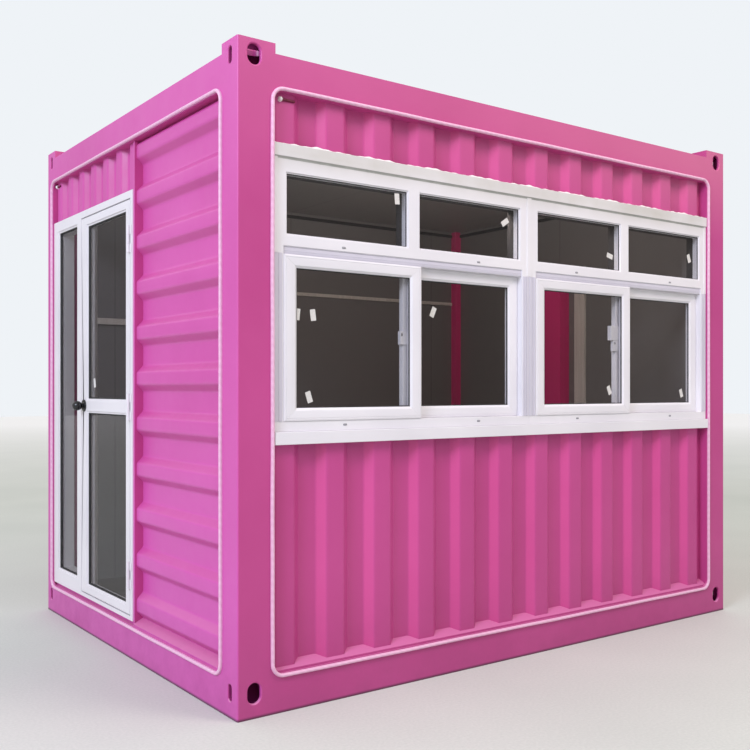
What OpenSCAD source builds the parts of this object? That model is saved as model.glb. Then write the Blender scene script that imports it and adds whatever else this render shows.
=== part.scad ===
// Container house: a steel frame with corrugated walls, a window front, a glazed
// swing door in the left end and rope lights round both shown openings.
// Millimetres. The origin is the middle of the footprint on the ground, the
// front faces -Y, the door end faces -X and Z points up.

/* [Overall size] */
// Outside length along the front
length = 3110; // [2900:10:3600]
// Outside depth from front to back
depth = 2300; // [2200:10:2600]
// Height to the tops of the corner castings
height = 2600; // [2560:10:2800]

/* [Steel frame] */
// Width of a corner post on each face but the door end
post_w = 160; // [150:5:175]
// Width of the front post on the door end
near_post_w = 142; // [134:2:160]
// Width of the back post on the door end
far_post_w = 94; // [84:2:140]
// Radius of the outer upright edge of the posts and castings
post_edge_r = 8; // [4:1:12]
// Height of the bottom rails and bottom castings
bottom_rail_h = 155; // [150:5:180]
// Height of the top rails
top_rail_h = 140; // [130:5:160]
// Depth of the rails into the wall
rail_d = 110; // [104:2:120]
// Thickness of the gusset plates in the opening corners
gusset_t = 6; // [4:1:8]
// Width of the flanges of a floor joist
joist_w = 50; // [40:5:70]
// Steel thickness of a floor joist
joist_t = 5; // [4:1:8]
// Number of joists on each side of the middle one
joist_pair_count = 3; // [2:1:5]

/* [Corner castings] */
// Length of a casting along the front
casting_x = 165; // [160:5:180]
// Width of a casting along the end
casting_y = 130; // [120:5:150]
// Height of a top casting
casting_h = 155; // [150:5:170]
// Rise of a top casting over its rails
casting_rise = 40; // [20:5:60]
// Wall thickness of a casting
casting_wall = 14; // [10:1:20]
// Width of the hole in the front of a casting
front_hole_w = 58; // [46:1:62]
// Height of the hole in the front of a casting
front_hole_h = 80; // [66:1:90]
// Width of the hole in the end of a casting
end_hole_w = 30; // [24:1:40]
// Height of the hole in the end of a casting
end_hole_h = 66; // [50:1:80]
// Height of both holes above the foot of a casting
hole_up = 96; // [80:1:100]
// Distance of the front hole from the corner
front_hole_along = 73; // [60:1:80]
// Width and depth of the eased rim round both holes
hole_rim = 6; // [3:1:8]
// Width of the lock slot
lock_slot_w = 60; // [50:1:64]
// Length of the lock slot
lock_slot_l = 116; // [100:1:124]

/* [Corrugated sheets] */
// Sheet thickness
sheet_t = 2; // [1.5:0.5:3]
// Recess of the rib crests behind the frame face
sheet_in = 22; // [18:1:26]
// Depth of the ribs
rib_d = 32; // [24:1:36]
// Rib pitch on the front and back
front_pitch = 239; // [200:1:280]
// Rib pitch on the two ends
end_pitch = 212; // [180:1:240]
// Height of the first outward slope on the ends over the rail
end_rib_up = 50; // [0:1:100]
// Rib pitch over the door
door_head_pitch = 178; // [150:1:200]
// Share of the pitch that is crest on upright ribs
crest_share = 0.355; // [0.3:0.005:0.4]
// Share of the pitch that is one slope
slope_share = 0.15; // [0.1:0.005:0.2]
// Share of the pitch that is crest on level ribs
end_crest_share = 0.27; // [0.2:0.005:0.35]
// Rib pitch of the roof
roof_pitch = 209; // [180:1:240]
// Depth of the roof ribs
roof_rib_d = 22; // [16:1:30]
// Drop of the roof crests below the top of the rails
roof_drop = 8; // [4:1:20]
// Height of the strip at the foot of a sheet
foot_h = 33; // [20:1:40]
// Height of the upright part of that strip
foot_lip_h = 9; // [4:1:15]

/* [Inside] */
// Thickness of the lining boards
lining_t = 9; // [6:1:12]
// Thickness of the floor deck
deck_t = 18; // [15:1:24]
// Height of the ceiling over the bottom edge of the top rails
ceiling_up = 8; // [4:1:12]
// Thickness of the ceiling panel
ceiling_t = 9; // [6:1:12]
// Width of the steel post inside the right wall
inside_post_w = 160; // [120:5:180]
// Depth of that post into the room
inside_post_d = 85; // [60:5:100]
// Height of that post over the floor
inside_post_h = 1900; // [1700:10:2100]
// Distance of that post from the front
inside_post_u = 1070; // [800:10:1300]

/* [Window front] */
// Height of the underside of the window frames
window_z = 1092; // [1000:2:1150]
// Height of the sheet over the window frames
front_head_h = 250; // [200:2:300]
// Recess of the window frames behind the frame face
window_in = 8; // [7:1:12]
// Depth of the window frames
window_d = 80; // [76:1:86]
// Width of the window jambs
window_jamb = 46; // [40:1:60]
// Height of the window head
window_head = 59; // [45:1:70]
// Height of the bottom track
track_h = 41; // [30:1:50]
// Height of the upper lights
upper_h = 245; // [200:1:280]
// Height of the transom
transom_h = 76; // [64:1:84]
// Height of the set-back strip along the foot of the transom
head_track_h = 32; // [24:1:40]
// Setback of that strip from the frame face
head_track_in = 6; // [4:1:8]
// Width of the jambs beside the upper panes
upper_jamb = 59; // [50:1:66]
// Width of the mullion between upper panes
upper_mullion = 62; // [50:1:70]
// Width of the glazing bead round an upper pane
glazing_bead = 5; // [4:1:10]
// Setback of the glazing beads from the frame face
bead_in = 6; // [4:1:9]
// Setback of the upper panes from the frame face
upper_glass_set = 11; // [10:1:30]
// Width of a sash
sash_w = 690; // [672:1:700]
// Width of the sash stiles
sash_stile_w = 60; // [50:1:70]
// Height of the sash rails
sash_rail = 52; // [45:1:60]
// Width of the bead round the glass of a sash, the side light and the leaf
bead_w = 9; // [6:1:12]
// Setback of that bead from the face
bead_step = 6; // [4:1:8]
// Thickness of a sash
sash_d = 28; // [24:1:30]
// Recess of the outer sashes behind the frame face
sash_in = 4; // [3:1:6]
// Gap between outer and inner sashes
sash_gap = 6; // [5:1:8]
// Glass thickness
glass_t = 6; // [5:1:8]
// Height of the fascia over the windows
fascia_h = 50; // [40:1:60]
// Height of the sill nosing under the windows
sill_h = 50; // [40:1:60]
// Projection of the sill nosing from the frame face
sill_out = 8; // [4:1:12]
// Height of the steel beams over and under the windows
beam_h = 50; // [40:1:60]

/* [Door end] */
// Width of the whole door unit with its side light
door_unit_w = 1152; // [1140:2:1190]
// Height of the sheet over the door unit
door_head_h = 225; // [180:5:270]
// Height of the threshold plate over the bottom rail
threshold_h = 17; // [12:1:24]
// Recess of the door unit behind the frame face
door_in = 6; // [6:1:9]
// Depth of the door frame
door_frame_d = 90; // [86:1:94]
// Width of the post beside the door
stud_w = 16; // [14:1:30]
// Recess of the post beside the door
stud_in = 12; // [8:1:18]
// Width of the hinge jamb
hinge_jamb = 26; // [24:1:36]
// Width of the mullion between the door and its side light
door_mullion = 70; // [60:1:76]
// Height of the door head
door_head = 36; // [30:1:44]
// Height of the door sill bar
door_sill = 20; // [16:1:26]
// Width of the side light's outer jamb
side_light_jamb = 76; // [60:1:90]
// Width of the side light's glass
side_light_w = 301; // [270:1:312]
// Setback of the side light's glass from the face of its frame
side_light_set = 20; // [14:1:50]
// Margin under the side light's glass
side_light_foot = 88; // [70:1:100]
// Margin over the side light's glass
side_light_head = 66; // [50:1:80]
// Gap round the door leaf
leaf_gap = 6; // [5:1:8]
// Thickness of the door leaf
leaf_d = 42; // [38:1:46]
// Width of the lock stile
lock_stile = 89; // [78:1:96]
// Width of the hinge stile
hinge_stile = 56; // [46:1:66]
// Height of the top rail of the leaf
leaf_top_rail = 48; // [40:1:60]
// Height of the bottom rail of the leaf
leaf_foot_rail = 48; // [40:1:60]
// Height of the middle of the lock rail over the bottom of the leaf
lock_rail_up = 975; // [900:5:1050]
// Height of the lock rail
lock_rail_h = 74; // [60:1:90]

/* [Door furniture] */
// Diameter of a knob
knob_d = 50; // [44:1:56]
// Diameter of the rose under a knob
rose_d = 64; // [58:1:68]
// Thickness of a rose
rose_t = 7; // [4:1:10]
// Projection of a knob from the leaf
knob_out = 62; // [56:1:66]
// Diameter of the knob's neck
knob_neck_d = 24; // [18:1:30]
// Space round the neck in its rose
neck_gap = 1; // [0.5:0.5:2]
// Diameter of the spindle between the knobs
spindle_d = 10; // [8:1:14]
// Running space round the spindle
spindle_gap = 0.3; // [0.2:0.1:0.5]
// Diameter of a hinge barrel
barrel_d = 15; // [12:1:16]
// Height of one hinge
hinge_h = 126; // [100:1:140]
// Space between hinge knuckles
knuckle_gap = 1; // [0.5:0.5:2]
// Width of a hinge flap
flap_w = 26; // [20:1:28]
// Thickness of a hinge flap
flap_t = 3; // [2:0.5:4]
// Distance from the leaf's ends to the middle of the end hinges
hinge_end = 188; // [150:1:240]

/* [Rope lights] */
// Width of the rope
rope_w = 15; // [13:1:20]
// Height of the rope over the frame face
rope_h = 12; // [10:1:16]
// Distance from the opening edge to the middle of the rope
rope_off = 10; // [10:1:14]
// Bend radius of the rope at the corners
rope_bend = 50; // [40:1:60]

/* [Output] */
// Fineness of round faces
round_steps = 64; // [32:16:128]

/* [Hidden] */
$fn = round_steps;

paint = "#d4558f";
white_metal = "#e9e6ee";
pane = "#4a4648";
board = "#8f8a88";
black = "#222222";
glow = "#f6d3e6";

cut_over = 1;
rail_top = height - casting_rise;
open_top = rail_top - top_rail_h;
open_h = open_top - bottom_rail_h;
casting_z = height - casting_h;
deck_z = bottom_rail_h - deck_t;
lining_in = rail_d - lining_t;
trough_in = sheet_in + rib_d;
sheet_back = trough_in + sheet_t;
front_w = length - 2 * post_w;
left_end = depth - near_post_w;
corner_fill = rope_bend - rope_off;
roof_z = rail_top - roof_drop - roof_rib_d - sheet_t;

window_w = front_w / 2;
window_top = open_top - front_head_h;
upper_z = window_top - window_head - upper_h;
transom_z = upper_z - transom_h;
upper_w = (window_w - 2 * upper_jamb - upper_mullion) / 2;
sash_z = window_z + track_h;
sash_h = transom_z - sash_z;
inner_sash_in = sash_in + sash_d + sash_gap;
upper_glass_in = window_in + upper_glass_set;

door_z = bottom_rail_h + threshold_h;
door_top = open_top - door_head_h;
door_u = far_post_w;
door_end = door_u + door_unit_w;
stud_end = door_end + stud_w;
leaf_u0 = door_end - hinge_jamb - leaf_gap;
leaf_z = door_z + door_sill + leaf_gap;
leaf_top = door_top - door_head - leaf_gap;
leaf_h = leaf_top - leaf_z;
side_light_end = door_u + side_light_jamb + side_light_w;
mullion_end = side_light_end + door_mullion;
leaf_u = mullion_end + leaf_gap;
leaf_w = leaf_u0 - leaf_u;
leaf_glass_w = leaf_w - lock_stile - hinge_stile;
leaf_glass_u = leaf_u + lock_stile;
lock_rail_z = leaf_z + lock_rail_up - lock_rail_h / 2;
knob_u = leaf_u + lock_stile / 2;
knob_z = leaf_z + lock_rail_up;
hinge_heights = [hinge_end, leaf_h / 2, leaf_h - hinge_end];
axis_u = leaf_u0 + leaf_gap / 2;
axis_in = door_in - barrel_d / 2 - knuckle_gap / 2;

// Places on the four walls: along the wall from its left end as seen from
// outside, inward from the outer face, and up.
module on_front() translate([-length / 2, -depth / 2, 0]) children();
module on_left() translate([-length / 2, depth / 2, 0]) rotate([0, 0, -90]) children();
module on_back() translate([length / 2, depth / 2, 0]) rotate([0, 0, 180]) children();
module on_right() translate([length / 2, -depth / 2, 0]) rotate([0, 0, 90]) children();

// A straight bar between two places along, inward and up.
module bar(u0, u1, r0, r1, z0, z1) {
  translate([u0, r0, z0]) cube([u1 - u0, r1 - r0, z1 - z0]);
}

// The cut for a pane between two faces, wider where the bead steps back.
module light(u0, u1, r0, r1, z0, z1) {
  bar(u0, u1, r0 - cut_over, r1 + cut_over, z0, z1);
  bar(u0 - bead_w, u1 + bead_w, r0 - cut_over, r0 + bead_step, z0 - bead_w, z1 + bead_w);
}

// An outline drawn on the wall's face, given a thickness inward.
module inward(r0, r1) {
  rotate([90, 0, 0]) translate([0, 0, -r1]) linear_extrude(r1 - r0) children();
}

// A section drawn inward and up, run along the wall.
module along(u0, u1) {
  translate([u0, 0, 0]) rotate([90, 0, 90]) linear_extrude(u1 - u0) children();
}

module slot_shape(w, h) {
  translate([-w / 2, -(h - w) / 2]) square([w, h - w]);
  translate([0, (h - w) / 2]) circle(d = w);
  translate([0, -(h - w) / 2]) circle(d = w);
}

// Posts

// A rectangle whose outer corner alone is rounded, so that rails meet it flush.
module corner_outline(x, y) {
  translate([post_edge_r, 0]) square([x - post_edge_r, y]);
  translate([0, post_edge_r]) square([x, y - post_edge_r]);
  translate([post_edge_r, post_edge_r]) circle(post_edge_r);
}

// The front left corner's frame, mirrored to the right (i) and to the back (j).
module at_corner(i, j) {
  mirror([i, 0, 0]) mirror([0, j, 0]) translate([-length / 2, -depth / 2, 0]) children();
}

module post(i, j, end_w) {
  color(paint) at_corner(i, j) translate([0, 0, bottom_rail_h])
    linear_extrude(casting_z - bottom_rail_h) corner_outline(post_w, end_w);
}

module post_front_left() post(0, 0, near_post_w);
module post_front_right() post(1, 0, post_w);
module post_back_left() post(0, 1, far_post_w);
module post_back_right() post(1, 1, post_w);

// Corner castings: hollow blocks with a hole in each outer face

module casting(tall, slot_z) {
  difference() {
    linear_extrude(tall) corner_outline(casting_x, casting_y);
    translate([casting_wall, casting_wall, casting_wall])
      cube([casting_x - 2 * casting_wall, casting_y - 2 * casting_wall, tall - 2 * casting_wall]);
    translate([front_hole_along, 0, hole_up]) {
      inward(-cut_over, casting_wall + cut_over) slot_shape(front_hole_w, front_hole_h);
      inward(-cut_over, hole_rim) slot_shape(front_hole_w + 2 * hole_rim, front_hole_h + 2 * hole_rim);
    }
    translate([0, casting_y / 2, hole_up]) rotate([0, 0, 90]) {
      inward(-casting_wall - cut_over, cut_over) slot_shape(end_hole_w, end_hole_h);
      inward(-hole_rim, cut_over) slot_shape(end_hole_w + 2 * hole_rim, end_hole_h + 2 * hole_rim);
    }
    translate([casting_x / 2, casting_y / 2, slot_z - cut_over])
      linear_extrude(casting_wall + 2 * cut_over) rotate([0, 0, 90])
        slot_shape(lock_slot_w, lock_slot_l);
  }
}

module bottom_castings() {
  color(paint)
    for (i = [0, 1], j = [0, 1]) at_corner(i, j) casting(bottom_rail_h, 0);
}

module top_castings() {
  color(paint)
    for (i = [0, 1], j = [0, 1]) at_corner(i, j)
      translate([0, 0, casting_z]) casting(casting_h, casting_h - casting_wall);
}

// Rails between the castings, with a gusset at each opening corner

module corner_fillet() {
  difference() {
    square(corner_fill);
    translate([corner_fill, corner_fill]) circle(corner_fill);
  }
}

// A wall's opening runs from u0 to u1 between its posts.
module bottom_rail(wall_w, cast, u0, u1) {
  color(paint) {
    bar(cast, wall_w - cast, 0, rail_d, 0, bottom_rail_h);
    inward(0, gusset_t) translate([u0, bottom_rail_h]) corner_fillet();
    inward(0, gusset_t) translate([u1, bottom_rail_h]) mirror([1, 0]) corner_fillet();
  }
}

module top_rail(wall_w, cast, u0, u1) {
  color(paint) {
    bar(cast, wall_w - cast, 0, rail_d, casting_z, rail_top);
    bar(u0, u1, 0, rail_d, open_top, casting_z);
    inward(0, gusset_t) translate([u0, open_top]) mirror([0, 1]) corner_fillet();
    inward(0, gusset_t) translate([u1, open_top]) rotate(180) corner_fillet();
  }
}

module bottom_rail_front() on_front() bottom_rail(length, casting_x, post_w, length - post_w);
module bottom_rail_back() on_back() bottom_rail(length, casting_x, post_w, length - post_w);
module bottom_rail_left() on_left() bottom_rail(depth, casting_y, far_post_w, left_end);
module bottom_rail_right() on_right() bottom_rail(depth, casting_y, post_w, depth - post_w);
module top_rail_front() on_front() top_rail(length, casting_x, post_w, length - post_w);
module top_rail_back() on_back() top_rail(length, casting_x, post_w, length - post_w);
module top_rail_left() on_left() top_rail(depth, casting_y, far_post_w, left_end);
module top_rail_right() on_right() top_rail(depth, casting_y, post_w, depth - post_w);

// Floor, ceiling and roof

module floor_joists() {
  run = depth - 2 * rail_d;
  step = (length - 2 * rail_d) / (2 * joist_pair_count + 2);
  color(paint)
    for (i = [-joist_pair_count : joist_pair_count])
      translate([i * step, -run / 2, 0]) difference() {
        translate([-joist_w / 2, 0, 0]) cube([joist_w, run, deck_z]);
        translate([joist_t - joist_w / 2, -cut_over, joist_t])
          cube([joist_w, run + 2 * cut_over, deck_z - 2 * joist_t]);
      }
}

// A plate between the rails, notched by what stands in the corners.
module inside_plate(z, t) {
  x = length - 2 * rail_d;
  y = depth - 2 * rail_d;
  difference() {
    translate([-x / 2, -y / 2, z]) cube([x, y, t]);
    translate([0, 0, z - cut_over]) linear_extrude(t + 2 * cut_over) children();
  }
}

module floor_deck() {
  color(board) inside_plate(deck_z, deck_t)
    for (i = [0, 1], j = [0, 1]) at_corner(i, j) square([casting_x, casting_y]);
}

module ceiling_panel() {
  color(board) inside_plate(open_top + ceiling_up, ceiling_t) {
    for (j = [0, 1]) at_corner(1, j) square(post_w);
    at_corner(0, 0) square([post_w, near_post_w]);
    at_corner(0, 1) square([post_w, far_post_w]);
  }
}

// The rib line as places along and inward, for a sheet of any width.
function rib_stops(w, pitch, phase, crest, slope, deep) = [
  for (k = [-1 : ceil(w / pitch)], s = [
    [-slope / 2, deep], [slope / 2, 0], [slope / 2 + crest, 0], [3 * slope / 2 + crest, deep]
  ]) [phase + k * pitch + s[0], s[1]]
];

function rib_line(w, stops) = concat(
  [[0, lookup(0, stops)]],
  [for (p = stops) if (p[0] > cut_over && p[0] < w - cut_over) p],
  [[w, lookup(w, stops)]]
);

function rib_places(w, pitch, phase, crest, deep) =
  rib_line(w, rib_stops(w, pitch, phase, crest * pitch, slope_share * pitch, deep));

module rib_section(w, pitch, phase, crest, deep) {
  line = rib_places(w, pitch, phase, crest, deep);
  last = len(line) - 1;
  back = [for (i = [last : -1 : 0]) [line[i][0], line[i][1] + sheet_t]];
  polygon(concat(line, back));
}

module upright_sheet(u0, u1, z0, z1, pitch) {
  translate([u0, sheet_in, z0]) linear_extrude(z1 - z0)
    rib_section(u1 - u0, pitch, 0, crest_share, rib_d);
}

module level_sheet(u0, u1) {
  translate([u1, sheet_in, bottom_rail_h]) rotate([0, -90, 0]) linear_extrude(u1 - u0)
    rib_section(open_h, end_pitch, end_rib_up, end_crest_share, rib_d);
}

module roof_sheet() {
  x = length - 2 * rail_d;
  y = depth - 2 * rail_d;
  color(paint) difference() {
    translate([-x / 2, y / 2, roof_z + roof_rib_d + sheet_t]) rotate([90, 0, 0])
      linear_extrude(y) mirror([0, 1]) rib_section(x, roof_pitch, 0, crest_share, roof_rib_d);
    for (i = [0, 1], j = [0, 1]) at_corner(i, j) translate([0, 0, roof_z - cut_over])
      cube([casting_x, casting_y, casting_rise + roof_rib_d + roof_drop]);
  }
}

// Steel round the window and the door

module window_beams() {
  color(paint) on_front() {
    bar(post_w, length - post_w, sheet_back, lining_in, window_z - beam_h, window_z);
    bar(post_w, length - post_w, sheet_back, lining_in, window_top, window_top + beam_h);
  }
}

module door_studs() {
  color(paint) on_left() {
    bar(door_end, stud_end, stud_in, rail_d, bottom_rail_h, open_top);
    bar(door_u, door_end, sheet_back, lining_in, door_top, door_top + beam_h);
  }
}

// The strips slope from the rail's edge back to the sheet, so that water runs off.
module foot_section(back) {
  polygon([
    [gusset_t, bottom_rail_h], [back, bottom_rail_h], [back, bottom_rail_h + foot_h],
    [gusset_t, bottom_rail_h + foot_lip_h]
  ]);
}

// Along upright ribs the strip is cut to the rib line.
module ribbed_foot() {
  line = rib_places(front_w, front_pitch, 0, crest_share, rib_d);
  behind = sheet_back + cut_over - sheet_in;
  difference() {
    along(post_w, length - post_w) foot_section(sheet_back);
    translate([post_w, sheet_in, bottom_rail_h - cut_over]) linear_extrude(foot_h + 2 * cut_over)
      polygon(concat(line, [[front_w, behind], [0, behind]]));
  }
}

module foot_strips() {
  color(paint) {
    on_front() ribbed_foot();
    on_back() ribbed_foot();
    on_right() along(post_w, depth - post_w) foot_section(trough_in);
    on_left() along(stud_end, left_end) foot_section(trough_in);
  }
}

module door_threshold() {
  color(paint) on_left()
    bar(door_u, door_end, sheet_in, rail_d, bottom_rail_h, door_z);
}

// Corrugated walls

module front_sheet_lower() {
  color(paint) on_front()
    upright_sheet(post_w, length - post_w, bottom_rail_h, window_z, front_pitch);
}

module front_sheet_upper() {
  color(paint) on_front()
    upright_sheet(post_w, length - post_w, window_top, open_top, front_pitch);
}

module back_sheet() {
  color(paint) on_back()
    upright_sheet(post_w, length - post_w, bottom_rail_h, open_top, front_pitch);
}

module left_sheet() {
  color(paint) on_left() level_sheet(stud_end, left_end);
}

module right_sheet() {
  color(paint) on_right() level_sheet(post_w, depth - post_w);
}

module door_head_sheet() {
  color(paint) on_left()
    upright_sheet(door_u, door_end, door_top, open_top, door_head_pitch);
}

module wall_linings() {
  color(board) {
    on_front() bar(post_w, length - post_w, lining_in, rail_d, bottom_rail_h, window_z);
    on_front() bar(post_w, length - post_w, lining_in, rail_d, window_top, open_top);
    on_left() bar(stud_end, left_end, lining_in, rail_d, bottom_rail_h, open_top);
    on_left() bar(door_u, door_end, lining_in, rail_d, door_top, open_top);
    on_back() bar(post_w, length - post_w, lining_in, rail_d, bottom_rail_h, open_top);
    on_right() bar(post_w, depth - post_w, lining_in, rail_d, bottom_rail_h, open_top);
  }
}

// A steel post of door height that stands on the floor against the right wall
module inside_post() {
  color(paint) on_right() bar(
    inside_post_u, inside_post_u + inside_post_w, rail_d, rail_d + inside_post_d,
    bottom_rail_h, bottom_rail_h + inside_post_h
  );
}

// Windows: two frames side by side, each with two upper panes over two sashes

module window_frame(u0) {
  back = window_in + window_d;
  lights = [u0 + upper_jamb, u0 + window_w - upper_jamb - upper_w];
  color(white_metal) on_front() difference() {
    bar(u0, u0 + window_w, window_in, back, window_z, window_top);
    bar(
      u0 + window_jamb, u0 + window_w - window_jamb, window_in - cut_over, back + cut_over, sash_z, transom_z
    );
    bar(
      u0 + window_jamb, u0 + window_w - window_jamb, window_in - cut_over, window_in + head_track_in,
      transom_z - cut_over, transom_z + head_track_h
    );
    for (u = lights) {
      bar(u, u + upper_w, window_in - cut_over, window_in + bead_in, upper_z, upper_z + upper_h);
      bar(
        u + glazing_bead, u + upper_w - glazing_bead, window_in, back + cut_over,
        upper_z + glazing_bead, upper_z + upper_h - glazing_bead
      );
    }
  }
}

module window_frame_left() window_frame(post_w);
module window_frame_right() window_frame(post_w + window_w);

module window_trim() {
  color(white_metal) on_front() {
    bar(post_w, length - post_w, 0, sheet_in, window_top, window_top + fascia_h);
    bar(post_w, length - post_w, -sill_out, sheet_in, window_z - sill_h, window_z);
  }
}

module sash(u0, r0) {
  color(white_metal) on_front() difference() {
    bar(u0, u0 + sash_w, r0, r0 + sash_d, sash_z, transom_z);
    light(
      u0 + sash_stile_w, u0 + sash_w - sash_stile_w, r0, r0 + sash_d,
      sash_z + sash_rail, transom_z - sash_rail
    );
  }
}

function outer_sash_at(i) = post_w + i * window_w + window_jamb;
function inner_sash_at(i) = post_w + (i + 1) * window_w - window_jamb - sash_w;

module outer_sashes() for (i = [0, 1]) sash(outer_sash_at(i), sash_in);
module inner_sashes() for (i = [0, 1]) sash(inner_sash_at(i), inner_sash_in);

module sash_pane(u0, r0) {
  middle = r0 + sash_d / 2;
  bar(
    u0 + sash_stile_w, u0 + sash_w - sash_stile_w, middle - glass_t / 2, middle + glass_t / 2,
    sash_z + sash_rail, transom_z - sash_rail
  );
}

module sash_glass() {
  color(pane) on_front() for (i = [0, 1]) {
    sash_pane(outer_sash_at(i), sash_in);
    sash_pane(inner_sash_at(i), inner_sash_in);
  }
}

module upper_glass() {
  color(pane) on_front()
    for (i = [0, 1], side = [upper_jamb, window_w - upper_jamb - upper_w]) {
      u = post_w + i * window_w + side;
      bar(
        u + glazing_bead, u + upper_w - glazing_bead, upper_glass_in, upper_glass_in + glass_t,
        upper_z + glazing_bead, upper_z + upper_h - glazing_bead
      );
    }
}

// Door unit: a fixed frame with a side light, and a leaf hinged at the front side

module door_frame() {
  back = door_in + door_frame_d;
  color(white_metal) on_left() difference() {
    bar(door_u, door_end, door_in, back, door_z, door_top);
    light(
      door_u + side_light_jamb, side_light_end, door_in, back,
      door_z + side_light_foot, door_top - side_light_head
    );
    bar(
      mullion_end, door_end - hinge_jamb, door_in - cut_over, back + cut_over,
      door_z + door_sill, door_top - door_head
    );
  }
}

module side_light_glass() {
  face = door_in + side_light_set;
  color(pane) on_left() bar(
    door_u + side_light_jamb, side_light_end, face, face + glass_t,
    door_z + side_light_foot, door_top - side_light_head
  );
}

lower_light = [leaf_z + leaf_foot_rail, lock_rail_z];
upper_light = [lock_rail_z + lock_rail_h, leaf_top - leaf_top_rail];

module door_leaf() {
  color(white_metal) on_left() difference() {
    bar(leaf_u, leaf_u0, door_in, door_in + leaf_d, leaf_z, leaf_top);
    for (z = [lower_light, upper_light])
      light(leaf_glass_u, leaf_glass_u + leaf_glass_w, door_in, door_in + leaf_d, z[0], z[1]);
    translate([knob_u, door_in + leaf_d + cut_over, knob_z]) rotate([90, 0, 0])
      cylinder(d = spindle_d + 2 * spindle_gap, h = leaf_d + 2 * cut_over);
  }
}

module door_glass() {
  middle = door_in + leaf_d / 2;
  color(pane) on_left() for (z = [lower_light, upper_light])
    bar(
      leaf_glass_u, leaf_glass_u + leaf_glass_w, middle - glass_t / 2, middle + glass_t / 2, z[0], z[1]
    );
}

// Roses stay on the leaf; the two knobs turn together on a spindle.
module on_both_faces() {
  on_left() {
    translate([knob_u, door_in, knob_z]) rotate([90, 0, 0]) children();
    translate([knob_u, door_in + leaf_d, knob_z]) rotate([-90, 0, 0]) children();
  }
}

module door_roses() {
  color(black) on_both_faces() difference() {
    cylinder(d = rose_d, h = rose_t);
    translate([0, 0, -cut_over])
      cylinder(d = knob_neck_d + 2 * neck_gap, h = rose_t + 2 * cut_over);
  }
}

module door_knobs() {
  ball_up = knob_out - knob_d / 2;
  color(black) {
    on_both_faces() {
      translate([0, 0, neck_gap]) cylinder(d = knob_neck_d, h = ball_up - neck_gap);
      translate([0, 0, ball_up]) sphere(d = knob_d);
      translate([0, 0, -leaf_d / 2]) cylinder(d = spindle_d, h = leaf_d / 2 + ball_up);
    }
  }
}

// Hinges: the middle third turns with the leaf, the rest stays with the jamb

knuckle_h = (hinge_h - 2 * knuckle_gap) / 3;

module knuckle(z, side) {
  translate([axis_u, axis_in, z]) cylinder(d = barrel_d, h = knuckle_h);
  bar(min(axis_u, axis_u + side * flap_w), max(axis_u, axis_u + side * flap_w),
    door_in - flap_t, door_in, z, z + knuckle_h);
}

module jamb_hinges() {
  color(white_metal) on_left()
    for (up = hinge_heights, k = [0, 2])
      knuckle(leaf_z + up - hinge_h / 2 + k * (knuckle_h + knuckle_gap), 1);
}

module leaf_hinges() {
  color(white_metal) on_left()
    for (up = hinge_heights)
      knuckle(leaf_z + up - hinge_h / 2 + knuckle_h + knuckle_gap, -1);
}

// Rope lights: a flat-backed tube run round the edge of an opening

module rope_section() {
  shoulder = rope_h - rope_w / 2;
  intersection() {
    translate([-rope_w / 2, 0]) square([rope_w, rope_h]);
    union() {
      translate([-rope_w / 2, 0]) square([rope_w, shoulder]);
      translate([0, shoulder]) circle(d = rope_w);
    }
  }
}

module rope_light(open_u0, open_u1) {
  u0 = open_u0 - rope_off;
  u1 = open_u1 + rope_off;
  z0 = bottom_rail_h - rope_off;
  z1 = open_top + rope_off;
  corners = [[u1, z1, -1, -1], [u0, z1, 1, -1], [u0, z0, 1, 1], [u1, z0, -1, 1]];
  color(glow) {
    for (z = [z0, z1])
      along(u0 + rope_bend, u1 - rope_bend) translate([0, z]) rotate(90) rope_section();
    for (u = [u0, u1])
      translate([u, 0, z0 + rope_bend]) linear_extrude(z1 - z0 - 2 * rope_bend)
        mirror([0, 1]) rope_section();
    for (i = [0 : 3])
      translate([corners[i][0] + corners[i][2] * rope_bend, 0, corners[i][1] + corners[i][3] * rope_bend])
        rotate([90, 0, 0]) rotate([0, 0, 90 * i]) rotate_extrude(angle = 90)
          translate([rope_bend, 0]) rope_section();
  }
}

module rope_light_front() on_front() rope_light(post_w, length - post_w);
module rope_light_left() on_left() rope_light(far_post_w, left_end);

post_front_left();
post_front_right();
post_back_left();
post_back_right();
bottom_castings();
top_castings();
bottom_rail_front();
bottom_rail_back();
bottom_rail_left();
bottom_rail_right();
top_rail_front();
top_rail_back();
top_rail_left();
top_rail_right();
floor_joists();
floor_deck();
ceiling_panel();
roof_sheet();
window_beams();
door_studs();
foot_strips();
door_threshold();
front_sheet_lower();
front_sheet_upper();
left_sheet();
door_head_sheet();
back_sheet();
right_sheet();
wall_linings();
inside_post();
window_frame_left();
window_frame_right();
window_trim();
outer_sashes();
inner_sashes();
sash_glass();
upper_glass();
door_frame();
side_light_glass();
door_leaf();
door_glass();
door_roses();
door_knobs();
jamb_hinges();
leaf_hinges();
rope_light_front();
rope_light_left();
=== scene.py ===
import math

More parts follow.
